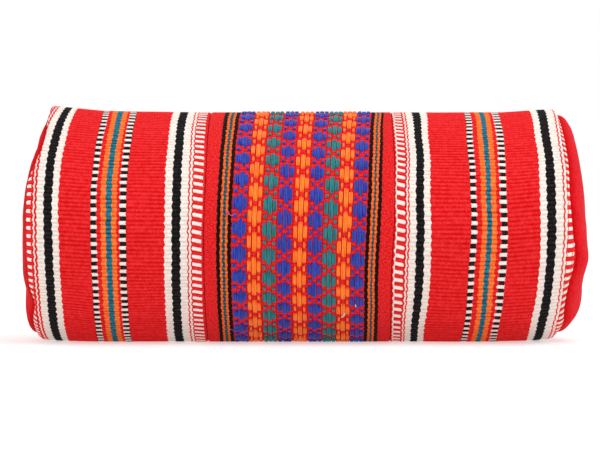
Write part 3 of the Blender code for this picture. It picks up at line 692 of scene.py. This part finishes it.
def band_cloth(cell):
    """The band's ground: fine plain margins with pin-stripes, and red cells between the floats."""
    shader = Shader("band_cloth", roughness=0.9)
    across, picks = shader.map_place()
    from_top, turn = rib_phase(shader, picks)
    fuzz = shader.noise((across * 2, picks * 2))
    slow = shader.noise((across * 0.05, picks * 0.12))
    share = frayed_place(across, from_top, turn, 0.36, fuzz, slow) / total_width(BAND_STRIPES)
    colour = ramp_colours(shader, share, BAND_STRIPES, 0)
    cells = (across - LEFT_MARGIN * 1000) / (cell * 1000)
    side = abs(shader.math("FRACT", cells) * 2 - 1)
    in_pattern = shader.math("COMPARE", across, BAND_HALF * 1000, PATTERN_REACH)
    with_pins = shader.math("COMPARE", across, BAND_HALF * 1000, PINS_REACH)
    # Painted shade in the grooves between the cells, and along the ribs of the pin-stripes
    groove = shader.math("MAXIMUM", from_top ** 3, side ** 5) * in_pattern * 0.6
    pin_groove_shade = from_top * from_top * (with_pins - in_pattern) * 0.7
    grain = shader.noise((across * 1.3, picks * 2.4), detail=3)
    dip = (groove - in_pattern * 0.2 + grain * 3.2 - 1.35).clamped()
    dip = (dip + pin_groove_shade).clamped()
    _, height = yarn_height(shader, across, picks, turn)
    return shader.finish(shader.shaded(colour, dip, 1), height + grain * 1.4, 0.00011)


def motif_strands(rng):
    """Every strand of the pattern threads, by colour: place, pick, width, length and height."""
    strands = {colour: [] for colour, _ in COLUMNS}
    last = (GIRTH - SLOT / 2 - FRONT) / BAND_PICK + BAND_PHASE - HEM_PICKS
    first = (SLOT / 2 - FRONT) / BAND_PICK + BAND_PHASE + HEM_PICKS
    longest = max(picks_long for _, _, picks_long, _ in FLOATS)
    for column, (colour, whole) in enumerate(COLUMNS):
        middle = COLUMN_EDGES[column] + whole / 2 - BAND_HALF
        start = FIRST_FLOAT + REPEAT_PICKS / 2 * (column % 2)
        for repeat in range(int(first // REPEAT_PICKS) - 1, int(last // REPEAT_PICKS) + 2):
            pick = start + REPEAT_PICKS * repeat
            for offset, wide, picks_long, later in FIRST_FLOATS if column == 0 else FLOATS:
                is_dot = later > 0
                if is_dot and colour == "orange":
                    picks_long *= ORANGE_DOTS
                    wide /= ORANGE_DOTS ** 0.6
                reach = (picks_long if is_dot else longest) / 2
                if first + reach < pick + later < last - reach:
                    count = 2 if is_dot else 3
                    bundle(strands[colour], rng, middle + offset, pick + later, wide, picks_long, count)
    return {colour: np.array(found) for colour, found in strands.items()}


def bundle(found, rng, place, pick, wide, picks_long, count):
    """One float of a few strands side by side, a little uneven as hand weaving is."""
    place += rng.normal(0, 0.00008)
    pick += rng.normal(0, 0.05)
    for strand in range(count):
        share = (strand - (count - 1) / 2) / count
        length = picks_long * (1 - 0.5 * share ** 2) * rng.uniform(0.96, 1.01)
        width = wide / count * rng.uniform(1.10, 1.30)
        height = FLOAT_RISE * (1 - 1.4 * share ** 2) * rng.uniform(0.9, 1.1)
        found.append((place + share * wide, pick + rng.normal(0, 0.03), width, length, height))


def half_rounds(width, length, height):
    """Strands that rise out of the cloth and dive back: places across, along and below, and how far
    each point lies to its strand's side and to its end, from -1 to 1."""
    to_end = np.array(STRAND_PLACES)[:, None]
    angle = np.linspace(0, pi, STRAND_SIDES)
    taper = np.maximum(1 - np.abs(to_end) ** 4, 0.03) ** 0.5
    to_side = -np.cos(angle)
    across = width / 2 * to_side * taper
    along = to_end * length / 2
    depth = STRAND_SINK + STRAND_DIVE * np.abs(to_end) ** 6 - height * np.sin(angle) * taper
    return np.broadcast_arrays(across, along, depth, to_side, to_end)


def strand_mesh(name, points, x, along, to_side, to_end):
    """One mesh of all strands, with the cloth's and each strand's own coordinates."""
    weave = np.stack((x * 1000, (along - FRONT) / BAND_PICK), axis=-1)
    strand = np.stack((to_side, to_end), axis=-1)
    index = np.arange(x.size).reshape(x.shape)
    faces = np.stack((index[:, 1:, :-1], index[:, 1:, 1:], index[:, :-1, 1:], index[:, :-1, :-1]), axis=-1)
    return quad_mesh(name, points, faces, Weave=weave, Strand=strand)


def float_mesh(name, strands):
    """The half-round strands of one colour of pattern thread."""
    place, pick, width, length, height = (strands[:, i, None, None] for i in range(5))
    across, run, depth, to_side, to_end = half_rounds(width, length * BAND_PICK, height)
    x = place + across
    start = stretched(FRONT + (pick - BAND_PHASE) * BAND_PICK, BAND_STRETCH)
    dip = dipped(start, BAND_DIPS) * (1 + BAND_DIP_SPREAD * place / BAND_HALF)
    along = start + dip + BAND_SLOPE * place + run
    return strand_mesh(name, barrel(x, along, depth), x, along, to_side, to_end)


def strand_thread(name, colour):
    """Soft pattern yarn: fine fibres along it, small random changes of tone, painted shade at each strand's
    sides and ends, and a painted highlight along its middle.
    """
    shader = Shader(name, roughness=0.85, sheen=0.15)
    across, picks = shader.map_place()
    to_side, to_end = shader.map_place("Strand")
    fibres = shader.noise((across * 6, picks * 1.1), detail=3)
    shade = shader.noise((across, picks * 0.4), 0.8)
    # Painted shade at each strand's sides and ends, where it dives into the cloth
    edges = to_side * to_side * 0.85 + abs(to_end) ** 6 * 0.3
    dip = (fibres * 0.7 + shade * 0.9 - 0.85 + edges).clamped()
    # A lighter colour where the dip is low: a painted highlight along each strand's middle, with random tone
    bright = tuple(min(1, c * 1.35 + 0.012) for c in COLOURS[colour]) + (1,)
    tinted = shader.mix(1 - dip, (*COLOURS[colour], 1), bright)
    return shader.finish(shader.shaded(tinted, dip, 1), fibres, 0.00012)


def floats():
    """The raised pattern threads, one piece for each colour."""
    for colour, strands in motif_strands(np.random.default_rng(seed=7)).items():
        name = colour + "_floats"
        thread = strand_thread(name, "band_" + colour)
        add_piece(name, float_mesh(name, strands), "pouch", thread)


def loose_threads():
    """Lint and loose ends of thread that lie on the band."""
    for name, (colour, radius, places) in LOOSE_THREADS.items():
        x, below = np.array(places).T
        path = barrel(x, FRONT + below, -LOOSE_RISE)
        shader = Shader(name, roughness=0.85, sheen=0.2)
        fibres = shader.noise(shader.object_place(), 3, 3)
        dim = tuple(0.7 * c for c in colour)
        material = shader.finish(shader.mix(fibres, (*dim, 1), (*colour, 1)), fibres)
        add_piece(name, tube_mesh(name, path, radius), "pouch", material)


def twill():
    """Plain red twill: fine slanting ridges, broken where fibres stand up, and painted shade in its folds
    beside the seams.
    """
    shader = Shader("red_twill", roughness=0.9, specular=0.08)
    place = _, y, z = shader.object_place()
    cloud = shader.noise(place, 0.15, 3)
    fuzz = shader.noise(place, 0.9, 4)
    ridge = shader.math("PINGPONG", y + z * 0.75 + cloud * 1.6, TWILL_RIDGE) / TWILL_RIDGE
    thread = shader.math("PINGPONG", y * 0.9 - z, TWILL_THREAD)
    painted_fold_shade, _ = shader.map_place()
    # Painted shade beside the seams, as in a fold, added to the random fuzz and the ridges
    dip = (fuzz * 1.8 - 0.6 - ridge * 0.3).clamped() + painted_fold_shade * FOLD_SHADE
    base = shader.mix(cloud, (*COLOURS["twill"], 1), tuple(c * 1.12 for c in COLOURS["twill"]) + (1,))
    return shader.finish(shader.shaded(base, dip, 0.8), ridge + fuzz + thread, 0.00016)


def end_fall(side, along):
    """How steeply a round end falls to its seam at places round it."""
    easy = EASY_FALLS[side > 0]
    fall = easy
    for place, reach, steep in STEEP_FALLS[side > 0]:
        away = (along - FRONT - place + GIRTH / 2) % GIRTH - GIRTH / 2
        fall = fall + (steep - easy) * np.exp(-(away / reach) ** 4)
    return fall


def puckers(share, turn):
    """How far the puckers beside an end's seam stand out, at shares of its rim and turns round it."""
    waves = sum(np.sin(count * turn + phase) for count, phase in PUCKERS) / len(PUCKERS)
    near_rim = share ** 14 * (1 - share ** 40)
    return PUCKER_DEPTH * near_rim[:, None] * waves


def end_points(name, side, rim, spokes):
    """Points of a round end, from its rim to its middle: a dome with puckers and soft dents."""
    low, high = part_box(name)
    tip = high[0] if side > 0 else low[0]
    share = 1 - np.linspace(0, 1, END_RINGS) ** END_GATHER
    share[-1] = END_CENTRE
    middle = rim[:-1].mean(axis=0)
    middle[0] = side * HALF_LENGTH + BARREL_SHIFT
    middle[2] -= BULGE_SAG
    bulge = side * (tip - middle[0]) + END_SWELLS[side > 0]
    points = middle + share[:, None, None] * (rim - middle)
    dome = bulge * (1 - share[:, None] ** BULGE_FLATNESS) ** end_fall(side, spokes * GIRTH)
    dent = wander(points[..., 1], points[..., 2], *END_DENT, 41 + side) * (1 - share[:, None] ** 6)
    points[..., 0] += side * (dome + puckers(share, spokes * 2 * pi) - np.abs(dent))
    return points


def round_end(name, side, material):
    """A round end of twill, drawn in at its seam."""
    spokes = np.arange(END_SPOKES + 1) / END_SPOKES
    rim = barrel(side * HALF_LENGTH, spokes * GIRTH, RIM_ROUND + END_SINK)
    points = end_points(name, side, rim, spokes)
    points = np.concatenate((points[:1] - np.array((side * END_TUCK, 0, 0)), points))
    rise = np.clip(side * (points[..., 0] - rim[:, 0]), 0, None)
    # The map's first value carries the painted fold shade: 1 at the seam, fading out from it
    uv = np.stack((np.exp(-rise / FOLD_SHADE_RISE), np.broadcast_to(spokes * 2 * pi, rise.shape)), axis=-1)
    mesh = grid_mesh(name, points, uv, flip=side < 0)
    add_piece(name, mesh, "pouch", material, replaces=(name,))


def zip_axes():
    """The zip line's middle, and its directions back across the cloth and out of it."""
    origin = barrel(0.0, 0.0, 0.0)
    out = origin - barrel(0.0, 0.0, WALL)
    out /= np.linalg.norm(out)
    return origin, np.cross(out, (1, 0, 0)), out


def tube_mesh(name, path, radius, sides=6):
    """A round thread along a path of points."""
    tangent = np.gradient(path, axis=0)
    tangent /= np.linalg.norm(tangent, axis=1)[:, None]
    side = np.cross(tangent, (0.0, 0.6, 0.8))
    side /= np.linalg.norm(side, axis=1)[:, None]
    up = np.cross(tangent, side)
    turn = np.linspace(0, 2 * pi, sides + 1)[:, None]
    points = path[:, None] + radius * (np.cos(turn) * side[:, None] + np.sin(turn) * up[:, None])
    uv = np.stack(np.meshgrid(np.arange(sides + 1) / sides, np.arange(len(path))), axis=-1)
    return grid_mesh(name, points, uv.astype(float))


def coil(side, material):
    """One row of the coil zip: a flattened spiral of nylon wire."""
    name = "zip_coil_" + ("front" if side < 0 else "back")
    low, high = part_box(name)
    origin, across, out = zip_axes()
    turns = int((high[0] - low[0] - 2 * COIL_WIRE) / COIL_PITCH)
    angle = np.linspace(0, turns * 2 * pi, turns * COIL_POINTS + 1) + (pi if side > 0 else 0)
    x = low[0] + COIL_WIRE + (angle - angle[0]) / (2 * pi) * COIL_PITCH
    middle, half = (COIL_NEAR + COIL_FAR) / 2, (COIL_FAR - COIL_NEAR) / 2 - COIL_WIRE
    away = side * (middle - half * np.cos(angle))
    height = -(COIL_FLOOR + COIL_CEILING) / 2 + ((COIL_FLOOR - COIL_CEILING) / 2 - COIL_WIRE) * np.sin(angle)
    path = origin + away[:, None] * across + height[:, None] * out
    path[:, 0] = x
    add_piece(name, tube_mesh(name, path, COIL_WIRE), "pouch", material, replaces=(name,))


def stitch_rows(material):
    """The stitches that hold the folded edges to the zip's tapes."""
    inset, end = SLOT / 2 + STITCH_INSET, HALF_LENGTH - STITCH_END
    for name, along in (("stitches_front", inset), ("stitches_back", GIRTH - inset)):
        places = np.arange(-end, end, STITCH_STEP)[:, None, None]
        ones = np.ones_like(places)
        sizes = (size * ones for size in (2 * THREAD, STITCH, 1.6 * THREAD))
        across, run, depth, to_side, to_end = half_rounds(*sizes)
        x, around = places + run, along + across
        mesh = strand_mesh(name, barrel(x, around, depth + RIB_DEPTH / 3), x, around, to_side, to_end)
        add_piece(name, mesh, "pouch", material)


def zip_cover(side, material):
    """The patch of cloth between the zip's end and the end seam."""
    name = "zip_cover_left" if side < 0 else "zip_cover_right"
    rim = quarter_round(RIM_ROUND, RIM_POINTS)
    flat = np.linspace(RIM_ROUND, LIFT_RUN, COVER_POINTS[0])[1:]
    from_end = np.concatenate((rim[0], flat, [LIFT_RUN]))
    depth = np.concatenate((rim[1], 0 * flat, [WALL]))
    half = SLOT / 2 - COVER_GAP
    edge = quarter_round(COVER_ROUND, SEAM_POINTS)
    level = np.linspace(SEAM_ROUND - half, half - SEAM_ROUND, COVER_POINTS[1])
    along = np.concatenate((edge[0] - half, level, half - edge[0][::-1]))
    sink = np.concatenate((edge[1], 0 * level, edge[1][::-1]))
    x_grid, along_grid = np.meshgrid(side * (HALF_LENGTH - from_end), along)
    points = barrel(x_grid, along_grid, depth + sink[:, None] + COVER_SINK)
    # The map's first value carries the painted fold shade, strongest at the end seam
    uv = np.stack(np.meshgrid(np.exp(-from_end / FOLD_SHADE_RISE), along), axis=-1)
    mesh = grid_mesh(name, points, uv, flip=side < 0)
    add_piece(name, mesh, "pouch", material, replaces=(name,))


def woven_tape():
    """Fine tape: close ribs across it, over its warp threads."""
    shader = Shader("zip_tape", roughness=0.85, sheen=0.1)
    place = x, y, _ = shader.object_place()
    rib = shader.math("PINGPONG", x, TAPE_RIB) / TAPE_RIB
    warp = shader.math("PINGPONG", y, TAPE_WARP) / TAPE_WARP
    fuzz = shader.noise(place, 2, 3)
    dip = (fuzz * 0.5 + 0.1 - rib * 0.25).clamped()
    base = shader.mix(fuzz, (0.42, 0.010, 0.016, 1), (0.50, 0.014, 0.022, 1))
    return shader.finish(shader.shaded(base, dip, 0.8), warp * 0.5 + rib + fuzz, 0.00010)


def nylon():
    """Glossy dark red nylon wire."""
    shader = Shader("zip_coil", roughness=0.35)
    cloud = shader.noise(shader.object_place(), 0.6)
    return shader.finish(shader.mix(cloud, (0.34, 0.008, 0.012, 1), (0.44, 0.012, 0.018, 1)), cloud, 0.00003)


def zip_metal():
    """Brushed metal with a warm nickel tone, rubbed brighter in places."""
    shader = Shader("zip_metal", metallic=1.0)
    place = x, y, z = shader.object_place()
    brushed = shader.noise((x * 0.8, y * 9, z), detail=3)
    cloud = shader.noise(place, 0.35, 3)
    shader.feed(shader.surface.inputs["Roughness"], cloud * 0.25 + 0.2)
    return shader.finish(shader.mix(cloud, (0.55, 0.50, 0.42, 1), (0.70, 0.66, 0.58, 1)), brushed, 0.00003)


def cotton():
    """Thin undyed cotton in plain weave."""
    shader = Shader("lining", roughness=0.9, sheen=0.1)
    x, y, z = shader.object_place()
    warp, weft = (shader.math("PINGPONG", place, COTTON_THREAD) / COTTON_THREAD for place in (x, y + z))
    slub = shader.noise((x * 0.2, y, z), 1.2, 3)
    return shader.finish(shader.mix(slub, (0.55, 0.50, 0.41, 1), (0.66, 0.60, 0.50, 1)), warp + weft, 0.00008)


def dress_solid(names, material, bevel=0.0):
    """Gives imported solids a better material, and softens the edges of metal ones."""
    for name in names:
        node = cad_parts[name]
        for place in node.material_slots:
            place.material = material
        if bevel:
            edge = node.modifiers.new("soft_edges", "BEVEL")
            edge.width = bevel
            edge.segments = 3
            edge.limit_method = "ANGLE"
            edge.angle_limit = radians(40)


def zip_parts(cloth):
    """The zip: tapes, coils, stops, slider and pull, with the patches beyond its ends."""
    wire = nylon()
    for side in (-1, 1):
        coil(side, wire)
        zip_cover(side, cloth)
    stitch_rows(strand_thread("red_thread", "twill"))
    dress_solid(("zip_tape_front", "zip_tape_back"), woven_tape())
    metal = zip_metal()
    dress_solid(("zip_slider", "zip_pull"), metal, SLIDER_EDGE)
    dress_solid(("zip_top_stop_front", "zip_top_stop_back", "zip_bottom_stop"), metal, STOP_EDGE)
    dress_solid(("lining_tube", "lining_end_left", "lining_end_right"), cotton())


def stage():
    """A pale floor that runs out to the white surround."""
    reach = 20.0
    corners = np.array([[(-reach, -reach, 0), (-reach, reach, 0)], [(reach, -reach, 0), (reach, reach, 0)]])
    mesh = grid_mesh("floor", corners, corners[..., :2], flip=True)
    floor = new_object("floor", mesh)
    shader = Shader("floor_paper", roughness=0.9)
    shader.surface.inputs["Emission Color"].default_value = (1, 1, 1, 1)
    shader.surface.inputs["Emission Strength"].default_value = 0.45
    grain = shader.noise(shader.object_place(), 0.06)
    mesh.materials.append(shader.finish(shader.mix(grain, (0.60, 0.60, 0.60, 1), (0.64, 0.64, 0.64, 1))))


def studio():
    """One soft box above and right of the camera, and a bright surround."""
    scene = bpy.context.scene
    scene.view_settings.view_transform = "Standard"
    scene.world = bpy.data.worlds.new("surround")
    scene.world.use_nodes = True
    surround = scene.world.node_tree.nodes["Background"].inputs
    surround["Color"].default_value = (1, 1, 1, 1)
    surround["Strength"].default_value = 1.0
    light = bpy.data.lights.new("key", "AREA")
    light.size = 1.0
    light.energy = 9.0
    place, middle = Vector((0.50, -0.6, 1.3)), Vector((0, 0, 0.05))
    obj = new_object("key", light)
    obj.location = place
    obj.rotation_euler = (middle - place).to_track_quat("-Z", "Y").to_euler()


def camera():
    """The photograph's view: level with the barrel's axis, square on to its front."""
    distance, photo_width, sensor = 0.968, 600, 36.0
    focal_pixels = 2100
    axis_column = 299
    lens = bpy.data.cameras.new("camera")
    lens.sensor_width = sensor
    lens.lens = focal_pixels * sensor / photo_width
    obj = new_object("camera", lens)
    to_middle = (photo_width / 2 - axis_column) * distance / focal_pixels
    obj.location = (BARREL_SHIFT + to_middle, -distance, FLOOR_DROP)
    obj.rotation_euler = (pi / 2, 0, 0)
    bpy.context.scene.camera = obj


camera()
studio()
stage()
striped_panel("left_panel", -1, LEFT_WEAVE, LEFT_DIPS, (), LEFT_STRIPES, seed=11)
striped_panel("right_panel", 1, RIGHT_WEAVE, RIGHT_DIPS, RIGHT_SEAM_DIPS, RIGHT_STRIPES, seed=23)
centre_band()
floats()
loose_threads()
red_twill = twill()
round_end("left_end", -1, red_twill)
round_end("right_end", 1, red_twill)
zip_parts(red_twill)
